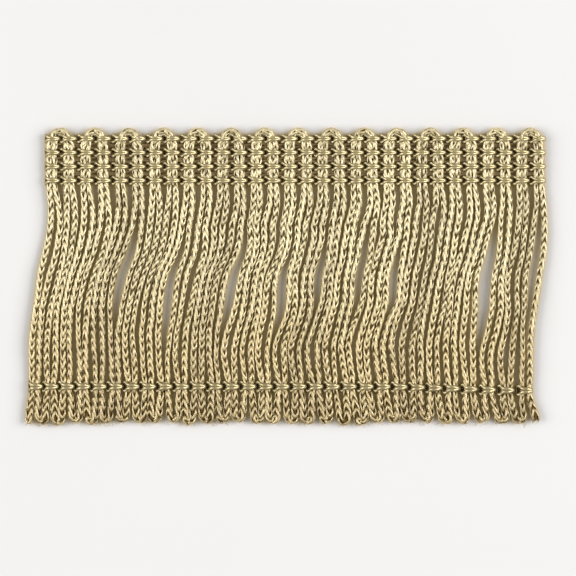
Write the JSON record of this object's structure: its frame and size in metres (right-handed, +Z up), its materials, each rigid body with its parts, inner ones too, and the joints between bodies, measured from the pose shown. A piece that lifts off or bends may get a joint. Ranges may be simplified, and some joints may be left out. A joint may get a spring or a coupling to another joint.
{
  "type": "chainette fringe trim",
  "caption": "Length of chainette fringe: a stitched heading with a looped top edge, straight knitted cords hanging from it, and a row of chain stitch that holds the cords near their ends.",
  "frame": {"origin": "middle of the trim's box, on the underside that lies on the surface", "axes": "+X along the trim, +Y from the cords' ends to the heading's looped edge, +Z up out of the trim's face"},
  "size_m": [0.1326, 0.0758, 0.0025],
  "materials": {
    "heading_yarn": "satin, knotted yarn",
    "cord_yarn": "glossy, knitted rayon",
    "chain_yarn": "satin, chain stitch"
  },
  "bodies": {
    "root": {"heading": "heading_yarn", "fringe_cords": "cord_yarn", "holding_chain": "chain_yarn"}
  },
  "joints": []
}
